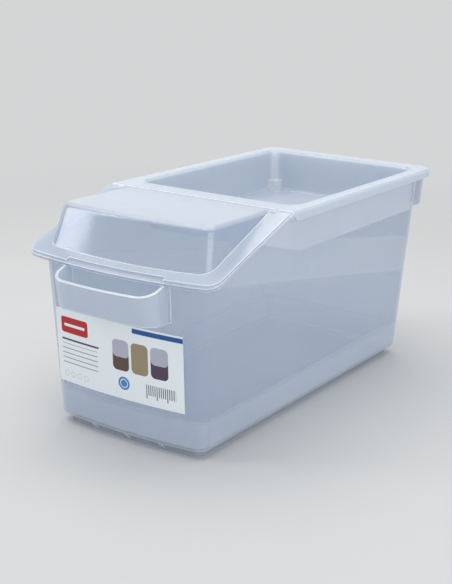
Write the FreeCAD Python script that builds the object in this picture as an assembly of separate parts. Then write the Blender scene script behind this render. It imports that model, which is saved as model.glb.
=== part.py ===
import FreeCAD, Part
import math
import os
from FreeCAD import Vector

# Bulk food bin with a hinged scoop lid at the front and a lift-out tray lid at the rear.
# Millimetres. X is the width, Y runs from the front to the rear, Z is up.
# The part is drawn with Y = 0 at the front of the foot and moved at the end, so that the
# origin is the middle of the whole part's length and width, on the surface it stands on.

# ---- bin ----
foot_width = 166.0            # outside of the foot ring
foot_length = 403.0
foot_height = 7.0
foot_wall = 3.0
foot_bow = 5.5                # how far the middle of the front curves forward
foot_corner = 8.0
foot_rib_count = 3            # gussets in front of the foot ring
foot_rib_spacing = 42.0
foot_rib_width = 5.0
foot_rib_share = 0.65         # of the bin's bottom rounding that a gusset reaches across
foot_rib_lift = 0.6

wall = 2.4                    # moulded wall of the bin
floor = 2.6
side_inset = 9.0              # from the foot ring out to the foot of each wall
front_inset = 8.5
rear_inset = 6.5
side_draft = 3.0              # degrees
front_draft = 3.4
rear_draft = 2.6
front_bow = 7.0
front_corner = 16.0
rear_corner = 9.5
bottom_round = 8.0

top_level = 231.0             # tops of the hood and of the tray lid
rim_thickness = 3.0
rim_overhang = 10.9           # from the side walls out to the edge of the sloping rim
rim_front_overhang = 8.6
slope = 19.8                  # degrees, rim of the scoop opening
slope_end = 102.5             # where the slope meets the level rim
rim_front_corner = 14.0
rim_rear_corner = 16.0
seat_gap = 0.3                # between pieces that rest on each other

# ---- grip in front of the front wall ----
grip_half_width = 61.0
grip_reach = 28.7             # from the front wall out to the face of the band, at its lower edge
grip_draft = 10.5             # degrees, the band leans out towards the top
grip_wall = 3.0
grip_corner = 18.0
grip_bow = 3.0
grip_bottom = 139.0           # height of the lower edge
grip_top_lift = 0.4           # the top edge follows the sloping rim, this far above its underside
grip_root = 100.0             # the band's outline runs back to here, inside the bin
hood_notch_half_width = 58.5  # the hood's flange steps back over the finger room behind the band
hood_notch_depth = 4.5

# ---- grip under the rear rim ----
rear_grip_reach = 13.5        # from the rear wall out to the skirt
rear_grip_bottom = 186.0
rear_grip_side = 1.5          # the skirt's ends stand this far outside the side walls
rear_grip_wall = 2.4
rear_grip_corner = 4.0
rear_rim_ledge = 0.6          # the rim stands this far behind the top of the skirt

# ---- tray lid ----
crossbar_rear = 134.0         # rear edge of the bar between the two openings
flange_front = 109.5          # front end of the turned-down flange, at the top
flange_rake = 6.5             # its lower end stands this much further back
tray_wall = 2.2
tray_depth = 51.0
tray_floor = 2.4
tray_clearance = 1.2          # from the pan out to the bin's wall
tray_draft = 3.5
tray_corner = 17.0
tray_bow = 0.6
flange_front_corner = 2.0
tray_edge_round = 4.0          # top edge of the tray's inside
tray_floor_round = 8.0
flange_drop = 10.2
flange_wall = 2.2
flange_clearance = 0.5        # from the bin's rim out to the tray lid's flange
flange_top_round = 2.0
lug_size = 11.0               # corner lugs on the floor of the tray
lug_height = 14.0

# ---- hood ----
hood_wall = 2.2
hood_flange = 2.6
hood_half_width = 92.0        # at the top
hood_front_top = -6.0         # front edge of the flat top
hood_side_draft = 8.5
hood_front_draft = 16.5
hood_bow = 6.0
hood_corner = 14.0
hood_top_round = 7.0
hood_edge_inset = 0.6         # the hood's flange stops short of the rim's edge

# ---- hinge along the rear of the hood ----
hinge_y = 104.0
bead_radius = 3.0
bead_clearance = 0.1
hinge_end_gap = 0.5           # sideways play of the bead in its channel
channel_wall = 2.2
channel_lip_angle = 25.0      # degrees below level where the front of the channel ends
channel_relief = 1.5          # below the axis, where the rear of the channel starts to lean back
nose_gap = 0.4                # from the bead back to the foot of the crossbar's nose
nose_lean = 1.2               # the nose leans back by this up to the top
pin_radius = 2.0              # trunnions at the ends of the bead
pin_length = 4.5
pin_clearance = 0.08
knuckle_radius = 4.6
knuckle_length = 6.5
knuckle_gap = 0.8             # from the knuckle to the hood's flange around it
flange_end_gap = 1.2          # the hood's flange ends this far in front of the hinge axis

# ---- label ----
label_width = 159.0
label_height = 79.0
label_bottom = 48.0
label_centre = -6.0
label_thickness = 0.25
label_glue = 0.05

TAN_SLOPE = math.tan(math.radians(slope))
BIG = 1000.0                  # reaches past the whole part
LEVEL_TOLERANCE = 0.01        # edges this close to a height lie at it


def tan_deg(angle):
    return math.tan(math.radians(angle))


def outline(half_width, front, rear, bow, front_r, rear_r, z):
    """Closed wire at height z: straight sides and rear, front curved forward, round corners."""
    radius = (half_width ** 2 + bow ** 2) / (2.0 * bow)
    centre_y = front + radius
    corner_x = half_width - front_r
    corner_y = centre_y - math.sqrt((radius - front_r) ** 2 - corner_x ** 2)
    lean = math.atan2(corner_x, centre_y - corner_y)
    tangent = Vector(radius * math.sin(lean), centre_y - radius * math.cos(lean), z)
    half_turn = lean + (math.pi / 2.0 - lean) / 2.0
    corner_mid = Vector(corner_x + front_r * math.sin(half_turn), corner_y - front_r * math.cos(half_turn), z)
    side_front = Vector(half_width, corner_y, z)
    side_rear = Vector(half_width, rear - rear_r, z)
    rear_diagonal = rear_r * math.sqrt(0.5)
    rear_mid = Vector(half_width - rear_r + rear_diagonal, rear - rear_r + rear_diagonal, z)
    rear_side = Vector(half_width - rear_r, rear, z)

    def mirror(p):
        return Vector(-p.x, p.y, p.z)

    edges = [
        Part.Arc(mirror(tangent), Vector(0, front, z), tangent).toShape(),
        Part.Arc(tangent, corner_mid, side_front).toShape(),
        Part.LineSegment(side_front, side_rear).toShape(),
        Part.Arc(side_rear, rear_mid, rear_side).toShape(),
        Part.LineSegment(rear_side, mirror(rear_side)).toShape(),
        Part.Arc(mirror(rear_side), mirror(rear_mid), mirror(side_rear)).toShape(),
        Part.LineSegment(mirror(side_rear), mirror(side_front)).toShape(),
        Part.Arc(mirror(side_front), mirror(corner_mid), mirror(tangent)).toShape(),
    ]
    return Part.Wire(edges)


def loft(wires):
    return Part.makeLoft(wires, True, True)


def bin_half_width(z):
    return foot_width / 2.0 + side_inset + (z - foot_height) * tan_deg(side_draft)


def bin_front(z):
    return -foot_bow - front_inset - (z - foot_height) * tan_deg(front_draft)


def bin_rear(z):
    return foot_length + rear_inset + (z - foot_height) * tan_deg(rear_draft)


def bin_wire(z, inset=0.0):
    """Section of the bin's walls at height z, moved in by inset."""
    return outline(bin_half_width(z) - inset, bin_front(z) + inset, bin_rear(z) - inset,
                   front_bow, front_corner - inset, rear_corner - inset, z)


def bottom_edges(shape):
    low = shape.BoundBox.ZMin
    return [e for e in shape.Edges if e.BoundBox.ZMax < low + LEVEL_TOLERANCE]


def bin_block(z_low, z_high, inset, radius):
    """Solid of the bin's tapering shape between two heights, with a rounded lower edge."""
    block = loft([bin_wire(z_low, inset), bin_wire(z_high, inset)])
    return block.makeFillet(radius, bottom_edges(block))


# ---- heights and lengths that follow from the sizes above ----
bin_rim_top = top_level - rim_thickness - seat_gap
bin_rim_bottom = bin_rim_top - rim_thickness
rim_half_width = bin_half_width(bin_rim_top) + rim_overhang
rear_skirt_top = bin_rear(bin_rim_bottom) + rear_grip_reach
flange_step = flange_wall + flange_clearance    # the rim under the tray lid is this much narrower
rim_rear = rear_skirt_top + rear_rim_ledge + flange_step
bend_y = slope_end
slope_rise = rim_thickness / math.cos(math.radians(slope))


def lip_front():
    """Y of the front edge of the sloping rim: the wall's line moved out by the overhang."""
    fall = tan_deg(front_draft)
    wall_at_zero = bin_front(0.0) - rim_front_overhang
    top_at_zero = bin_rim_bottom + slope_rise - bend_y * TAN_SLOPE
    return (wall_at_zero - fall * top_at_zero) / (1.0 + fall * TAN_SLOPE)


rim_front = lip_front()


def grip_front(z):
    return bin_front(grip_bottom) - grip_reach - (z - grip_bottom) * tan_deg(grip_draft)


def grip_lip():
    """Y of the band's foremost edge, where its leaning face meets the slope of its top edge."""
    lean = tan_deg(grip_draft)
    top_at_zero = bin_rim_bottom + grip_top_lift / math.cos(math.radians(slope)) - bend_y * TAN_SLOPE
    return (grip_front(0.0) - lean * top_at_zero) / (1.0 + lean * TAN_SLOPE)


def profile_points(lift, y_start):
    """Three points in the YZ plane along a surface that follows the rim, lift above its underside."""
    slope_lift = lift / math.cos(math.radians(slope))
    bend = bend_y - (slope_lift - lift) / TAN_SLOPE
    level = bin_rim_bottom + lift
    return [(y_start, level + (y_start - bend) * TAN_SLOPE), (bend, level), (BIG, level)]


def across(points):
    """Solid with the given YZ outline, as wide as the whole part."""
    corners = [Vector(-BIG, y, z) for y, z in points]
    face = Part.Face(Part.makePolygon(corners + corners[:1]))
    return face.extrude(Vector(2.0 * BIG, 0, 0))


def band(lift, thickness):
    """Plate across the whole width that follows the rim: level at the rear, sloping in front."""
    under = profile_points(lift, -BIG)
    over = profile_points(lift + thickness, -BIG)
    return across(under + over[::-1])


def above(lift):
    """Everything over the surface that lies lift above the underside of the rim."""
    under = profile_points(lift, -BIG)
    return across(under + [(BIG, BIG), (-BIG, BIG)])


def box(x0, x1, y0, y1, z0, z1):
    return Part.makeBox(x1 - x0, y1 - y0, z1 - z0, Vector(x0, y0, z0))


def prism(wire, height):
    return Part.Face(wire).extrude(Vector(0, 0, height))


def rod(x0, x1, radius, y, z):
    return Part.makeCylinder(radius, x1 - x0, Vector(x0, y, z), Vector(1, 0, 0))


def rim_wire(inset, z):
    return outline(rim_half_width - inset, rim_front + inset, rim_rear - inset, front_bow,
                   rim_front_corner - inset, rim_rear_corner - inset, z)


def hood_notch():
    """Space in front of the hood's flange where it steps back over the finger room."""
    reach = hood_notch_half_width
    step = hood_edge_inset + hood_notch_depth
    front = box(-reach, reach, -BIG, rim_front + step + front_bow, 0.0, BIG)
    return front.cut(prism(rim_wire(step, 0.0), BIG))


def make_front_grip(bin_outer):
    """Band around the finger room in front of the wall, open above and below."""
    def block(inset):
        wires = [outline(grip_half_width - inset, grip_front(z) + inset, grip_root, grip_bow,
                         grip_corner - inset, grip_corner - inset, z)
                 for z in (grip_bottom, bin_rim_bottom)]
        return loft(wires)

    return block(0.0).cut(block(grip_wall)).cut(above(grip_top_lift)).cut(bin_outer)


def make_rear_grip(bin_outer):
    """Skirt under the rear rim, with finger room between it and the wall."""
    top = bin_rim_bottom + rim_thickness / 2.0

    def wire(z, inset):
        return outline(bin_half_width(z) + rear_grip_side - inset, foot_length / 2.0,
                       bin_rear(z) + rear_grip_reach - inset, front_bow, front_corner,
                       rear_grip_corner - inset, z)

    skirt = loft([wire(rear_grip_bottom, 0.0), wire(top, 0.0)])
    skirt = skirt.cut(loft([wire(rear_grip_bottom, rear_grip_wall), wire(top, rear_grip_wall)]))
    behind = box(-BIG, BIG, bin_rear(rear_grip_bottom) - rear_corner, BIG, 0.0, BIG)
    return skirt.common(behind).cut(bin_outer)


def make_foot():
    def wire(inset, z):
        return outline(foot_width / 2.0 - inset, -foot_bow + inset, foot_length - inset, foot_bow,
                       foot_corner - inset, foot_corner - inset, z)

    ring = prism(wire(0.0, 0.0), foot_height + floor / 2.0)
    ring = ring.cut(prism(wire(foot_wall, 0.0), foot_height))
    reach = bottom_round * foot_rib_share
    for i in range(foot_rib_count):
        x = (i - (foot_rib_count - 1) / 2.0) * foot_rib_spacing
        front = -foot_bow + foot_bow * (x / (foot_width / 2.0)) ** 2 + foot_wall / 2.0
        corners = [
            Vector(x - foot_rib_width / 2.0, front, foot_rib_lift),
            Vector(x - foot_rib_width / 2.0, front - foot_wall / 2.0 - reach, foot_height),
            Vector(x - foot_rib_width / 2.0, front - foot_wall / 2.0 - reach, foot_height + floor),
            Vector(x - foot_rib_width / 2.0, front, foot_height + floor / 2.0),
        ]
        face = Part.Face(Part.makePolygon(corners + corners[:1]))
        ring = ring.fuse(face.extrude(Vector(foot_rib_width, 0, 0)))
    return ring


def make_bin():
    outer = bin_block(foot_height, bin_rim_top, 0.0, bottom_round)
    inner = bin_block(foot_height + floor, top_level, wall, bottom_round - wall)
    plate = band(0.0, rim_thickness)
    wide_end = flange_front - flange_clearance
    wide = prism(rim_wire(0.0, 0.0), BIG).cut(box(-BIG, BIG, wide_end, BIG, 0.0, BIG))
    rim = prism(rim_wire(flange_step, 0.0), BIG).fuse(wide).common(plate)
    body = outer.cut(above(rim_thickness))
    body = body.fuse([rim, make_front_grip(outer), make_rear_grip(outer), make_foot()])
    return body.cut(inner).removeSplitter()


# ---- tray lid ----
hinge_z = top_level - bead_radius
bead_seat = bead_radius + bead_clearance
nose_y = hinge_y + bead_radius + nose_gap
tray_top_half_width = bin_half_width(top_level) - wall - tray_clearance
tray_top_rear = bin_rear(top_level) - wall - tray_clearance


def pan_wire(z, inset):
    shrink = (top_level - z) * tan_deg(tray_draft) + inset
    return outline(tray_top_half_width - shrink, crossbar_rear + shrink, tray_top_rear - shrink, tray_bow,
                   tray_corner - inset, tray_corner - inset, z)


def pan_block(depth, inset, radius):
    block = loft([pan_wire(top_level - depth, inset), pan_wire(top_level, inset)])
    return block.makeFillet(radius, bottom_edges(block))


def flange_wire(inset, front, z):
    return outline(rim_half_width - inset, front, rim_rear - inset, tray_bow, flange_front_corner,
                   rim_rear_corner - inset, z)


def in_front_of_nose():
    """Everything in front of the crossbar's front edge, which leans back towards the top."""
    slant = nose_lean / bead_radius
    low = nose_y - slant * bead_radius
    high = nose_y + slant * bead_radius * 2.0
    return across([(low, hinge_z - bead_radius), (high, top_level + bead_radius),
                   (-BIG, top_level + bead_radius), (-BIG, hinge_z - bead_radius)])


def at_level(shape, level):
    low = level - LEVEL_TOLERANCE
    high = level + LEVEL_TOLERANCE
    return [e for e in shape.Edges if e.BoundBox.ZMin > low and e.BoundBox.ZMax < high]


def make_tray_rim():
    """Flat rim with a turned-down flange whose front ends are raked."""
    drop_level = top_level - flange_drop
    plate_under = top_level - rim_thickness
    rim = prism(flange_wire(0.0, hinge_y, drop_level), flange_drop)
    outer_top = [e for e in at_level(rim, top_level) if e.BoundBox.YMax > nose_y]
    rim = rim.makeFillet(flange_top_round, outer_top)
    rim = rim.cut(prism(flange_wire(flange_wall, -foot_length, drop_level), flange_drop - rim_thickness))
    ends = across([(0.0, drop_level), (flange_front + flange_rake, drop_level),
                   (flange_front, plate_under), (0.0, plate_under)])
    return rim.cut(ends).cut(in_front_of_nose())


def make_cradle():
    """Open channel under the hood's bead, hanging from the front of the crossbar."""
    reach = hood_half_width
    outside = bead_seat + channel_wall
    ring = rod(-reach, reach, outside, hinge_y, hinge_z)
    lip_y = hinge_y - BIG * math.cos(math.radians(channel_lip_angle))
    lip_z = hinge_z - BIG * math.sin(math.radians(channel_lip_angle))
    open_sector = across([(hinge_y, hinge_z), (lip_y, lip_z), (-BIG, BIG), (BIG, BIG), (BIG, hinge_z)])
    root = box(-reach, reach, hinge_y + bead_radius, hinge_y + outside + nose_lean,
               hinge_z - bead_seat, top_level)
    relief = box(-BIG, BIG, hinge_y, BIG, hinge_z - channel_relief, BIG).common(in_front_of_nose())
    channel = ring.cut(open_sector).cut(relief).fuse(root.cut(in_front_of_nose()))
    return channel.cut(rod(-reach, reach, bead_seat, hinge_y, hinge_z))


def make_knuckle(side):
    """Block at one end of the crossbar's front with the blind bore for the hood's trunnion."""
    x0 = min(side * hood_half_width, side * (hood_half_width + knuckle_length))
    block = box(x0, x0 + knuckle_length, hinge_y, nose_y + knuckle_radius,
                hinge_z - knuckle_radius, top_level)
    block = block.fuse(rod(x0, x0 + knuckle_length, knuckle_radius, hinge_y, hinge_z))
    block = block.cut(box(-BIG, BIG, 0.0, BIG, top_level, BIG))
    bore_reach = pin_reach + hinge_end_gap
    bore = rod(-bore_reach, bore_reach, pin_radius + pin_clearance, hinge_y, hinge_z)
    return block.cut(bore)


def make_lug(side):
    """Small square lug in a rear corner of the tray's floor."""
    low = top_level - tray_depth - tray_floor / 2.0
    height = lug_height + tray_floor / 2.0
    shrink = tray_depth * tan_deg(tray_draft) + tray_wall
    x_inner = side * (tray_top_half_width - shrink - lug_size)
    x0 = min(x_inner, side * BIG)
    post = box(x0, x0 + BIG - abs(x_inner), tray_top_rear - shrink - lug_size, BIG, low, low + height)
    return post.common(pan_block(tray_depth + tray_floor / 2.0, tray_wall / 2.0, tray_floor_round))


def make_tray():
    pan = pan_block(tray_depth + tray_floor, 0.0, tray_floor_round)
    hollow = pan_block(tray_depth, tray_wall, tray_floor_round - tray_wall)
    tray = make_tray_rim().fuse([pan, make_cradle(), make_knuckle(-1), make_knuckle(1)])
    tray = tray.cut(hollow).removeSplitter()
    inside_top = [e for e in at_level(tray, top_level) if is_pan_edge(e)]
    tray = tray.makeFillet(tray_edge_round, inside_top)
    return tray.fuse([make_lug(-1), make_lug(1)]).removeSplitter()


def is_pan_edge(edge):
    span = edge.BoundBox
    inside = max(abs(span.XMin), abs(span.XMax)) < tray_top_half_width
    return inside and span.YMin > crossbar_rear and span.YMax < tray_top_rear


# ---- hood ----
pin_reach = hood_half_width + pin_length
hood_low_level = bin_rim_bottom - (bend_y - rim_front) * TAN_SLOPE
hood_lift = rim_thickness + seat_gap


def hood_wire(z, inset):
    drop = top_level - z
    return outline(hood_half_width + drop * tan_deg(hood_side_draft) - inset,
                   hood_front_top - drop * tan_deg(hood_front_draft) + inset,
                   foot_length, hood_bow, hood_corner - inset, hood_corner - inset, z)


def hood_block(inset, radius):
    """Solid of the hood's shape, running on past the hinge, with its top edges rounded."""
    top = top_level - inset
    block = loft([hood_wire(hood_low_level, inset), hood_wire(top, inset)])
    crown = [e for e in at_level(block, top) if e.BoundBox.YMin < foot_length - hood_corner]
    return block.makeFillet(radius, crown)


def make_hood():
    outline_block = prism(rim_wire(hood_edge_inset, 0.0), BIG)
    flange = outline_block.common(band(hood_lift, hood_flange)).cut(hood_notch())
    shell = hood_block(0.0, hood_top_round).common(above(hood_lift))
    hood = flange.fuse(shell).cut(hood_block(hood_wall, hood_top_round - hood_wall))
    reach = hood_half_width - hinge_end_gap
    knuckle_side = hood_half_width + knuckle_length + knuckle_gap
    knuckle_front = hinge_y - knuckle_radius - knuckle_gap
    hood = hood.cut(box(-BIG, BIG, hinge_y, BIG, 0.0, BIG))
    for side in (-1, 1):
        inner = min(side * reach, side * knuckle_side)
        outer = min(side * reach, side * BIG)
        hood = hood.cut(box(inner, inner + knuckle_side - reach, knuckle_front, BIG, 0.0, BIG))
        hood = hood.cut(box(outer, outer + BIG - reach, hinge_y - flange_end_gap, BIG, 0.0, BIG))
    return hood.removeSplitter()


def make_bead():
    """Hinge bead along the hood's rear edge, with a pin at each end, cut to lie against the hood."""
    reach = hood_half_width - hinge_end_gap
    bead = rod(-reach, reach, bead_radius, hinge_y, hinge_z)
    pins = rod(-pin_reach, pin_reach, pin_radius, hinge_y, hinge_z)
    return bead.fuse(pins).cut(make_hood()).removeSplitter()


def make_label():
    z0 = label_bottom
    z1 = label_bottom + label_height
    skin = bin_block(foot_height, bin_rim_top, -label_thickness - label_glue, bottom_round)
    skin = skin.cut(bin_block(foot_height, bin_rim_top, -label_glue, bottom_round))
    left = label_centre - label_width / 2.0
    return skin.common(box(left, left + label_width, -BIG, foot_length / 2.0, z0, z1))


front_reach = grip_lip()
rear_reach = rim_rear
shift = Vector(0, -(front_reach + rear_reach) / 2.0, 0)
os.makedirs("parts", exist_ok=True)
makers = {"bin_body": make_bin, "tray_lid": make_tray, "scoop_hood": make_hood, "hinge_bead": make_bead,
          "front_label": make_label}
for name, maker in makers.items():
    shape = maker()
    shape.translate(shift)
    shape.exportStep("parts/" + name + ".step")
    print(name, "valid", shape.isValid(), "solids", len(shape.Solids), "volume", round(shape.Volume))
print("hinge axis at y", round(hinge_y + shift.y, 3), "z", hinge_z, "shift", shift.y)
print("width", 2.0 * rim_half_width, "length", rear_reach - front_reach, "height", top_level)
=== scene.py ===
from math import cos, radians, sin

import bpy
from mathutils import Matrix, Vector


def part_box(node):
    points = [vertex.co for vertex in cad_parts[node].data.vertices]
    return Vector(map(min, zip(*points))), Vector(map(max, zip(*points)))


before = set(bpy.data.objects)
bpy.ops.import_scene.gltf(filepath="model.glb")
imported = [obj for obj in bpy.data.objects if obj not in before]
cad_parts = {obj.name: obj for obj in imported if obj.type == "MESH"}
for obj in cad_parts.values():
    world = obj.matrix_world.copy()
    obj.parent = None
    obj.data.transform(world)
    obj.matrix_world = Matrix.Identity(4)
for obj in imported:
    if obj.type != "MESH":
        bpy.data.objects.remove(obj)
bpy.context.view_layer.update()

# ---------------------------------------------------------------- node helpers


class Tree:
    """A material's node tree, with short calls for the nodes used below."""

    def __init__(self, name):
        self.material = bpy.data.materials.new(name)
        self.material.use_nodes = True
        self.nodes = self.material.node_tree.nodes
        self.links = self.material.node_tree.links
        self.nodes.clear()
        self.output = self.nodes.new("ShaderNodeOutputMaterial")

    def put(self, target, value):
        """Links a socket to the target, or sets the target to a constant."""
        if isinstance(value, bpy.types.NodeSocket):
            self.links.new(value, target)
        else:
            target.default_value = value

    def add(self, kind, **inputs):
        """A node of this kind, with its sockets set by name."""
        made = self.nodes.new("ShaderNode" + kind)
        for key, value in inputs.items():
            self.put(made.inputs[key.replace("_", " ")], value)
        return made

    def math(self, operation, a, b=0.0):
        made = self.nodes.new("ShaderNodeMath")
        made.operation = operation
        self.put(made.inputs[0], a)
        self.put(made.inputs[1], b)
        return made.outputs[0]

    def vector_math(self, operation, a, b=(0.0, 0.0, 0.0)):
        made = self.nodes.new("ShaderNodeVectorMath")
        made.operation = operation
        self.put(made.inputs[0], a)
        self.put(made.inputs[1], b)
        return made.outputs["Value" if operation == "LENGTH" else "Vector"]

    def ramp(self, value, low, high, out_low=0.0, out_high=1.0):
        """The value carried smoothly from one range to another, held at both ends."""
        made = self.nodes.new("ShaderNodeMapRange")
        made.interpolation_type = "SMOOTHSTEP"
        for place, number in enumerate((value, low, high, out_low, out_high)):
            self.put(made.inputs[place], number)
        return made.outputs[0]

    def apart(self, vector):
        """The three parts of a vector, as sockets named X, Y and Z."""
        return self.add("SeparateXYZ", Vector=vector).outputs

    def blend(self, share, a, b):
        """Colour a where share is 0, colour b where it is 1."""
        made = self.nodes.new("ShaderNodeMix")
        made.data_type = "RGBA"
        self.put(made.inputs[0], share)
        self.put(made.inputs[6], a)
        self.put(made.inputs[7], b)
        return made.outputs[2]

    def noise(self, vector, scale, detail):
        return self.add("TexNoise", Vector=vector, Scale=scale, Detail=detail).outputs[0]

    def mix_shader(self, share, a, b):
        made = self.nodes.new("ShaderNodeMixShader")
        self.put(made.inputs[0], share)
        self.links.new(a, made.inputs[1])
        self.links.new(b, made.inputs[2])
        return made.outputs[0]


# ---------------------------------------------------------------- translucent plastic

PLASTIC_IOR = 1.49
GLOW_SHARE = 0.35                  # of the milky part, what light passes through
MOST_DENSE = 0.95
EDGE_ON = (0.35, 1.0, 0.0, 0.32)   # how much denser a wall is as it turns from face on to edge on
GLOSS_ROUGHNESS = 0.13
GLOSS_FACE_ON = 0.04               # share mirrored face on, and what is added to it edge on
GLOSS_EDGE_ON = 0.35
NOISE_RANGE = (0.3, 0.7)           # what a noise mostly keeps to
WALL_TO_FLAT = (0.3, 0.85)         # upward share of the normal, from upright walls to flat surfaces
CLOUD_DEPTH = 0.006


def milky_plastic(name, upright, level, tint, bright, through, haze_and_painted_light=None):
    """Natural polypropylene: milky, see-through face on, denser where it is seen edge on.

    Upright and level are the densities of walls and of flat surfaces, haze adds to them by place and
    pales the colour; on the bin and the tray much of that haze is painted light.
    """
    t = Tree(name)
    coordinates = t.add("TexCoord").outputs
    place = coordinates["Object"]
    rise = t.apart(coordinates["Normal"])["Z"]

    cloud = t.noise(place, 9.0, 3.0)
    flow = t.noise(t.vector_math("MULTIPLY", place, (60.0, 60.0, 14.0)), 1.0, 2.0)

    facing = t.add("LayerWeight", Blend=0.5).outputs["Facing"]
    depth = t.ramp(t.math("ABSOLUTE", rise), *WALL_TO_FLAT, upright, level)
    depth = t.math("ADD", depth, t.ramp(facing, *EDGE_ON))
    depth = t.math("ADD", depth, t.ramp(cloud, *NOISE_RANGE, -CLOUD_DEPTH, CLOUD_DEPTH))
    colour = t.blend(t.ramp(flow, 0.35, 0.65, 0.0, 0.07), tint, bright)
    if haze_and_painted_light:
        more = haze_and_painted_light(t, coordinates)
        depth = t.math("ADD", depth, more)
        # Where the haze holds a painted glow, reflection or highlight, this paints it into the colour.
        colour = t.blend(t.math("MULTIPLY", more, 2.0), colour, bright)
    depth = t.math("MINIMUM", depth, MOST_DENSE)

    waves = t.noise(place, 16.0, 1.0)
    bump = t.add("Bump", Strength=0.02, Distance=0.0010, Height=waves).outputs[0]

    rough = t.ramp(cloud, *NOISE_RANGE, 0.14, 0.18)
    skin = t.add("BsdfPrincipled", Base_Color=colour, Roughness=rough, IOR=PLASTIC_IOR, Normal=bump)
    glow = t.add("BsdfTranslucent", Color=colour, Normal=bump)
    body = t.mix_shader(GLOW_SHARE, skin.outputs[0], glow.outputs[0])
    clear = t.add("BsdfTransparent", Color=through)
    shown = t.mix_shader(depth, clear.outputs[0], body)
    gloss = t.add("BsdfAnisotropic", Color=(1.0, 1.0, 1.0, 1.0), Roughness=GLOSS_ROUGHNESS, Normal=bump)
    mirrored = t.math("MULTIPLY", t.math("POWER", facing, 5.0), GLOSS_EDGE_ON)
    mirrored = t.math("ADD", mirrored, GLOSS_FACE_ON)
    shown = t.mix_shader(mirrored, shown, gloss.outputs[0])
    t.links.new(shown, t.output.inputs["Surface"])
    return t.material


GRIP_REAR = -0.2145                # the front wall lies behind this, the grip's band in front
WALL_REAR = 0.215                  # the side walls end ahead of this, the rear grip lies behind
SIDE_FROM = 0.08                   # beyond this far from the middle lie only the side walls
PAINTED_REFLECTION_FALL = 0.171                  # the painted side reflection falls this much per metre towards the rear
PAINTED_GLOW_FRONT = -0.044           # ahead of this the lower edge of the painted glow behind the tray rises
PAINTED_GLOW_RISE = 0.27

# Each band: the heights between which it begins or ends, and its haze at the first and the second.
# Foot band: partly the denser bottom, partly painted light from the pale floor seen through and
# mirrored.
FOOT_DENSE_AND_PAINTED_LIGHT = (0.047, 0.036, 0.0, 0.15)
# Side band: a painted reflection, a soft light band slanting down towards the rear.
PAINTED_REFLECTION_BAND = (0.140, 0.145, 0.0, 0.15)
PAINTED_REFLECTION_TOP = (0.190, 0.185)
# Tray band: a painted glow of the lit tray pan seen through the wall.
PAINTED_GLOW_BAND = (0.180, 0.184, 0.0, 0.34)
GRIP_BAND = (0.1765, 0.1760, 0.0, 0.22)


def bin_haze_and_painted_light(t, coordinates):
    """Paler along the foot, in a soft band along each side, behind the tray and on the grip. The side
    band is a painted reflection, the band behind the tray a painted glow of the lit tray seen through
    the wall, and the foot is partly the denser bottom, partly painted light from the pale floor.
    """
    apart = t.apart(coordinates["Object"])
    # partly denser bottom, partly painted floor light
    foot_dense_and_painted_light = t.ramp(apart["Z"], *FOOT_DENSE_AND_PAINTED_LIGHT)
    line = t.math("ADD", apart["Z"], t.math("MULTIPLY", apart["Y"], PAINTED_REFLECTION_FALL))
    side = t.math("GREATER_THAN", t.math("ABSOLUTE", apart["X"]), SIDE_FROM)
    # painted reflection along the side walls
    painted_reflection = t.math("MULTIPLY", t.ramp(line, *PAINTED_REFLECTION_BAND), t.ramp(line, *PAINTED_REFLECTION_TOP))
    ahead = t.math("MINIMUM", t.math("ADD", apart["Y"], -PAINTED_GLOW_FRONT), 0.0)
    height = t.math("ADD", apart["Z"], t.math("MULTIPLY", ahead, PAINTED_GLOW_RISE))
    on_wall = t.math("LESS_THAN", apart["Y"], WALL_REAR)
    # painted glow of the lit tray behind the wall
    painted_glow = t.math("MULTIPLY", t.ramp(height, *PAINTED_GLOW_BAND), on_wall)
    upper = t.math("MULTIPLY", t.math("MAXIMUM", painted_reflection, painted_glow), side)
    grip = t.math("LESS_THAN", apart["Y"], GRIP_REAR)
    grip = t.math("MULTIPLY", grip, t.ramp(apart["Z"], *GRIP_BAND))
    return t.math("ADD", t.math("MAXIMUM", foot_dense_and_painted_light, grip), upper)


LUG_LOW = (0.0833, 0.2091, 0.181)  # the lower inner corner of the right-hand lug in the tray
LUG_TOP = 0.1945
LUG_HAZE = 0.35
# A painted highlight down the tray's rounded upright corners.
PAINTED_CORNER_HIGHLIGHT = (0.25, 0.48, 0.0, 0.22)


def tray_lugs_and_painted_highlight(t, coordinates):
    """Paler on the tray's two lugs, with a painted highlight down its rounded upright corners."""
    apart = t.apart(coordinates["Object"])
    lug = t.math("GREATER_THAN", t.math("ABSOLUTE", apart["X"]), LUG_LOW[0])
    lug = t.math("MULTIPLY", lug, t.math("GREATER_THAN", apart["Y"], LUG_LOW[1]))
    lug = t.math("MULTIPLY", lug, t.math("GREATER_THAN", apart["Z"], LUG_LOW[2]))
    lug = t.math("MULTIPLY", lug, t.math("LESS_THAN", apart["Z"], LUG_TOP))
    turned = t.apart(coordinates["Normal"])
    # painted highlight where the normal turns between two walls
    corner = t.math("ABSOLUTE", t.math("MULTIPLY", turned["X"], turned["Y"]))
    return t.math("MAXIMUM", t.math("MULTIPLY", lug, LUG_HAZE), t.ramp(corner, *PAINTED_CORNER_HIGHLIGHT))


# ---------------------------------------------------------------- printed label

MM_PER_METRE = 1000.0
INK_SOFT = 0.12                    # half the width of an edge in print, in millimetres
RING_SOFT = 0.1


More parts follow.
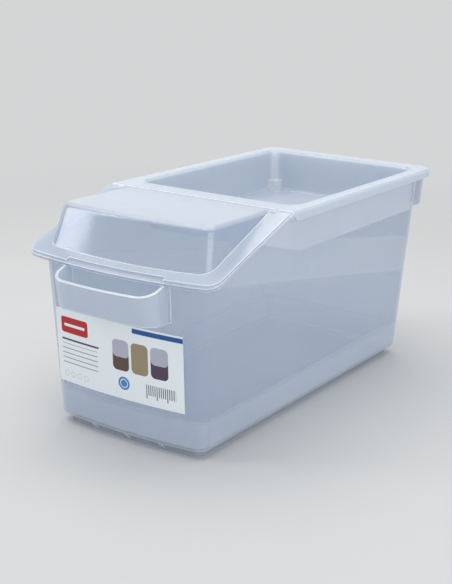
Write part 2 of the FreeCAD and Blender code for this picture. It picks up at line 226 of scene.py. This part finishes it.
class Print:
    """Flat artwork on the label, in millimetres from its lower left corner."""

    def __init__(self, tree, across, up, paper):
        self.tree, self.across, self.up = tree, across, up
        self.colour = paper

    def distance(self, x0, y0, x1, y1, corner):
        """How far a point lies outside a rounded rectangle, negative within it."""
        t = self.tree
        dx = t.math("ABSOLUTE", t.math("SUBTRACT", self.across, (x0 + x1) / 2))
        dy = t.math("ABSOLUTE", t.math("SUBTRACT", self.up, (y0 + y1) / 2))
        dx = t.math("SUBTRACT", dx, (x1 - x0) / 2 - corner)
        dy = t.math("SUBTRACT", dy, (y1 - y0) / 2 - corner)
        outer = t.math("POWER", t.math("MAXIMUM", dx, 0.0), 2.0)
        outer = t.math("ADD", outer, t.math("POWER", t.math("MAXIMUM", dy, 0.0), 2.0))
        outer = t.math("SQRT", outer)
        inner = t.math("MINIMUM", t.math("MAXIMUM", dx, dy), 0.0)
        return t.math("SUBTRACT", t.math("ADD", outer, inner), corner)

    def ink(self, mask, colour):
        self.colour = self.tree.blend(mask, self.colour, colour)

    def block(self, x0, y0, x1, y1, colour, corner=0.3, only=None):
        mask = self.tree.ramp(self.distance(x0, y0, x1, y1, corner), INK_SOFT, -INK_SOFT)
        if only is not None:
            mask = self.tree.math("MULTIPLY", mask, only)
        self.ink(mask, colour)

    def ring(self, x, y, radius, width, colour):
        disc = self.distance(x - radius, y - radius, x + radius, y + radius, radius)
        gap = self.tree.math("ABSOLUTE", disc)
        self.ink(self.tree.ramp(gap, width / 2 + RING_SOFT, width / 2 - RING_SOFT), colour)

    def repeat(self, along, start, pitch, share):
        """A mask of equal bars, each taking this share of the pitch."""
        t = self.tree
        phase = t.math("FRACT", t.math("DIVIDE", t.math("SUBTRACT", along, start), pitch))
        soft = INK_SOFT / pitch
        rise = t.ramp(phase, 0.0, soft)
        fall = t.ramp(phase, share + soft, share)
        return t.math("MULTIPLY", rise, fall)


def label_paper(name, node):
    """A white sheet printed with a plain generic design."""
    low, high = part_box(node)
    t = Tree(name)
    place = t.add("TexCoord").outputs["Object"]
    apart = t.apart(place)
    across = t.math("MULTIPLY", t.math("SUBTRACT", apart["X"], low.x), MM_PER_METRE)
    up = t.math("MULTIPLY", t.math("SUBTRACT", apart["Z"], low.z), MM_PER_METRE)
    wide = (high.x - low.x) * MM_PER_METRE
    tall = (high.z - low.z) * MM_PER_METRE

    white = (0.80, 0.84, 0.86, 1.0)
    red = (0.46, 0.012, 0.016, 1.0)
    blue = (0.010, 0.085, 0.29, 1.0)
    sky = (0.06, 0.22, 0.50, 1.0)
    grey = (0.26, 0.31, 0.33, 1.0)
    pale = (0.52, 0.57, 0.59, 1.0)
    dark = (0.055, 0.065, 0.075, 1.0)
    tan = (0.30, 0.24, 0.15, 1.0)
    brown = (0.10, 0.06, 0.045, 1.0)
    plum = (0.075, 0.045, 0.085, 1.0)
    lilac = (0.42, 0.43, 0.52, 1.0)

    art = Print(t, across, up, white)
    art.block(wide - 58, tall - 7, wide, tall - 2, blue, 0.2)
    art.block(7, tall - 25, 44, tall - 8, red, 3.0)
    art.block(11, tall - 18, 40, tall - 15, white, 1.4)

    art.block(7, tall - 33, 58, tall - 31, dark, 0.5)
    rows = art.repeat(up, tall - 58, 5.2, 0.20)
    art.block(7, tall - 58.5, 56, tall - 36.5, grey, 0.2, only=rows)

    for place_x in (9.0, 18.0, 27.0, 36.0):
        art.ring(place_x + 2.5, 9.5, 2.9, 0.7, pale)

    shades = ((lilac, brown), (tan, tan), (lilac, plum))
    for step, (upper, lower) in enumerate(shades):
        x = 76.0 + 23.0 * step
        art.block(x, 30, x + 20, 62, lower, 5.0)
        art.block(x, 44, x + 20, 62, upper, 5.0)
    art.block(82, 10, 96, 24, sky, 7.0)
    art.ring(89, 17, 4.3, 0.8, white)

    ticks = art.repeat(across, 116, 2.4, 0.42)
    art.block(116, 11, 150, 22, dark, 0.2, only=ticks)
    long_ticks = art.repeat(across, 116, 12.0, 0.09)
    art.block(116, 7.5, 150, 11, dark, 0.2, only=long_ticks)

    normal = t.apart(t.add("NewGeometry").outputs["Normal"])
    front = t.math("LESS_THAN", normal["Y"], 0.0)
    colour = t.blend(front, white, art.colour)
    fibre = t.noise(place, 1500.0, 2.0)
    crease = t.noise(place, 35.0, 3.0)
    height = t.math("ADD", t.math("MULTIPLY", fibre, 0.04), crease)
    bump = t.add("Bump", Strength=0.12, Distance=0.001, Height=height).outputs[0]
    rough = t.ramp(crease, *NOISE_RANGE, 0.42, 0.55)
    sheet = t.add("BsdfPrincipled", Base_Color=colour, Roughness=rough, IOR=1.45, Normal=bump)
    t.links.new(sheet.outputs[0], t.output.inputs["Surface"])
    return t.material


# ---------------------------------------------------------------- materials and edges

JOIN_WITHIN = 2e-5                 # metres, points nearer to each other than this are joined
FLAT_WITHIN = radians(0.6)         # neighbouring faces that turn by less are made one
EDGE_FROM = radians(50)            # edges that turn by more are rounded
EDGE_ROUND = 0.0005


def paint(node, material, edge=None):
    """Puts a material on a carried-over node, and another on its edges, which are then rounded. The
    edge material is paler: partly plastic seen through its thickness, partly a painted highlight.
    """
    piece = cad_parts[node]
    piece.data.materials.clear()
    piece.data.materials.append(material)
    if edge is None:
        return
    piece.data.materials.append(edge)
    join = piece.modifiers.new("join", "WELD")
    join.merge_threshold = JOIN_WITHIN
    flat = piece.modifiers.new("flat", "DECIMATE")
    flat.decimate_type = "DISSOLVE"
    flat.angle_limit = FLAT_WITHIN
    turn = piece.modifiers.new("round", "BEVEL")
    turn.width = EDGE_ROUND
    turn.segments = 2
    turn.limit_method = "ANGLE"
    turn.angle_limit = EDGE_FROM
    turn.use_clamp_overlap = False
    turn.material = 1
    even = piece.modifiers.new("even", "WEIGHTED_NORMAL")
    even.mode = "FACE_AREA"
    even.weight = 50


BRIGHT = (0.90, 0.92, 0.95, 1.0)
# The rounded edges take a denser, whiter plastic: partly the plastic seen edge on through its
# thickness, partly a painted highlight along every rim and corner.
EDGE_THICK_AND_HIGHLIT = milky_plastic("edge_plastic_thick_and_highlit", 0.85, 0.85, (0.91, 0.92, 0.94, 1.0), BRIGHT,
                     (0.95, 0.96, 0.97, 1.0))
HOOD_PLASTIC = milky_plastic("hood_plastic", 0.16, 0.36, (0.73, 0.775, 0.83, 1.0), BRIGHT,
                             (0.86, 0.89, 0.935, 1.0))
BIN_PLASTIC = milky_plastic("bin_plastic", 0.19, 0.55, (0.67, 0.71, 0.77, 1.0), BRIGHT,
                            (0.855, 0.89, 0.94, 1.0), bin_haze_and_painted_light)
TRAY_PLASTIC = milky_plastic("tray_plastic", 0.60, 0.30, (0.77, 0.825, 0.89, 1.0), BRIGHT,
                             (0.89, 0.91, 0.94, 1.0), tray_lugs_and_painted_highlight)
paint("bin_body", BIN_PLASTIC, EDGE_THICK_AND_HIGHLIT)
paint("tray_lid", TRAY_PLASTIC, EDGE_THICK_AND_HIGHLIT)
paint("scoop_hood", HOOD_PLASTIC, EDGE_THICK_AND_HIGHLIT)
paint("hinge_bead", HOOD_PLASTIC)
paint("front_label", label_paper("label_print", "front_label"))

# ---------------------------------------------------------------- floor and light

FLOOR_HALF = 3.0
FADE_START = 0.35                  # the floor runs out into the backdrop between these distances
FADE_END = 1.5


def make_floor():
    mesh = bpy.data.meshes.new("floor")
    signs = ((-1, -1), (1, -1), (1, 1), (-1, 1))
    corners = [(x * FLOOR_HALF, y * FLOOR_HALF, 0) for x, y in signs]
    mesh.from_pydata(corners, [], [(0, 1, 2, 3)])
    floor = bpy.data.objects.new("floor", mesh)
    bpy.context.scene.collection.objects.link(floor)
    t = Tree("floor_paint")
    place = t.add("TexCoord").outputs["Object"]
    tone = t.noise(place, 3.0, 2.0)
    colour = t.blend(tone, (0.52, 0.52, 0.52, 1.0), (0.55, 0.55, 0.55, 1.0))
    matt = t.add("BsdfPrincipled", Base_Color=colour, Roughness=0.9)
    clear = t.add("BsdfTransparent")
    fade = t.ramp(t.vector_math("LENGTH", place), FADE_START, FADE_END)
    t.links.new(t.mix_shader(fade, matt.outputs[0], clear.outputs[0]), t.output.inputs["Surface"])
    mesh.materials.append(t.material)


def softbox(name, place, aim, width, height, power, colour=(1.0, 1.0, 1.0)):
    """A rectangular studio light at a place, facing the aim."""
    light = bpy.data.lights.new(name, "AREA")
    light.shape = "RECTANGLE"
    light.size, light.size_y = width, height
    light.energy = power
    light.color = colour
    lamp = bpy.data.objects.new(name, light)
    lamp.location = place
    lamp.rotation_euler = (Vector(aim) - Vector(place)).to_track_quat("-Z", "Y").to_euler()
    lamp.visible_camera = False
    bpy.context.scene.collection.objects.link(lamp)


def make_world():
    world = bpy.data.worlds.new("studio")
    world.use_nodes = True
    nodes, links = world.node_tree.nodes, world.node_tree.links
    nodes.clear()
    path = nodes.new("ShaderNodeLightPath")
    ambient = nodes.new("ShaderNodeBackground")
    ambient.inputs["Color"].default_value = (0.88, 0.94, 1.0, 1.0)
    ambient.inputs["Strength"].default_value = 0.64
    seen = nodes.new("ShaderNodeBackground")
    seen.inputs["Color"].default_value = (0.66, 0.665, 0.67, 1.0)
    seen.inputs["Strength"].default_value = 1.0
    pick = nodes.new("ShaderNodeMixShader")
    output = nodes.new("ShaderNodeOutputWorld")
    links.new(path.outputs["Is Camera Ray"], pick.inputs[0])
    links.new(ambient.outputs[0], pick.inputs[1])
    links.new(seen.outputs[0], pick.inputs[2])
    links.new(pick.outputs[0], output.inputs[0])
    bpy.context.scene.world = world


make_floor()
make_world()
WARM = (1.0, 0.96, 0.91)
softbox("top_light", (-0.2, 0.1, 1.5), (0, 0, 0.1), 1.8, 1.8, 22.0, WARM)
softbox("left_light", (-1.4, -1.2, 0.9), (0, 0, 0.12), 0.35, 1.2, 7.0)
softbox("right_light", (1.5, -0.7, 0.45), (0, 0.05, 0.10), 1.2, 1.3, 10.0)
softbox("rear_panel", (-1.3, 2.0, 0.85), (0, 0, 0.2), 1.8, 0.9, 2.2, (1.0, 0.96, 0.92))

# ---------------------------------------------------------------- camera

CAMERA_AZIMUTH = radians(33.61)
CAMERA_ELEVATION = radians(16.29)
CAMERA_ROLL = radians(1.42)
CAMERA_DISTANCE = 1.26907
CAMERA_TARGET = Vector((0.00606, -0.03515, 0.11925))
CAMERA_LENS = 93.2


def make_camera():
    data = bpy.data.cameras.new("camera")
    data.sensor_fit = "HORIZONTAL"
    data.sensor_width = 36.0
    data.lens = CAMERA_LENS
    data.clip_start = 0.05
    data.clip_end = 100.0
    camera = bpy.data.objects.new("camera", data)
    flat = cos(CAMERA_ELEVATION)
    back = Vector((sin(CAMERA_AZIMUTH) * flat, -cos(CAMERA_AZIMUTH) * flat, sin(CAMERA_ELEVATION)))
    level_x = Vector((0, 0, 1)).cross(back).normalized()
    level_y = back.cross(level_x)
    right = cos(CAMERA_ROLL) * level_x + sin(CAMERA_ROLL) * level_y
    up = -sin(CAMERA_ROLL) * level_x + cos(CAMERA_ROLL) * level_y
    turn = Matrix((right, up, back)).transposed().to_4x4()
    camera.matrix_world = Matrix.Translation(CAMERA_TARGET + back * CAMERA_DISTANCE) @ turn
    bpy.context.scene.collection.objects.link(camera)
    bpy.context.scene.camera = camera


make_camera()
bpy.context.scene.view_settings.view_transform = "Standard"
bpy.context.scene.cycles.transparent_max_bounces = 32
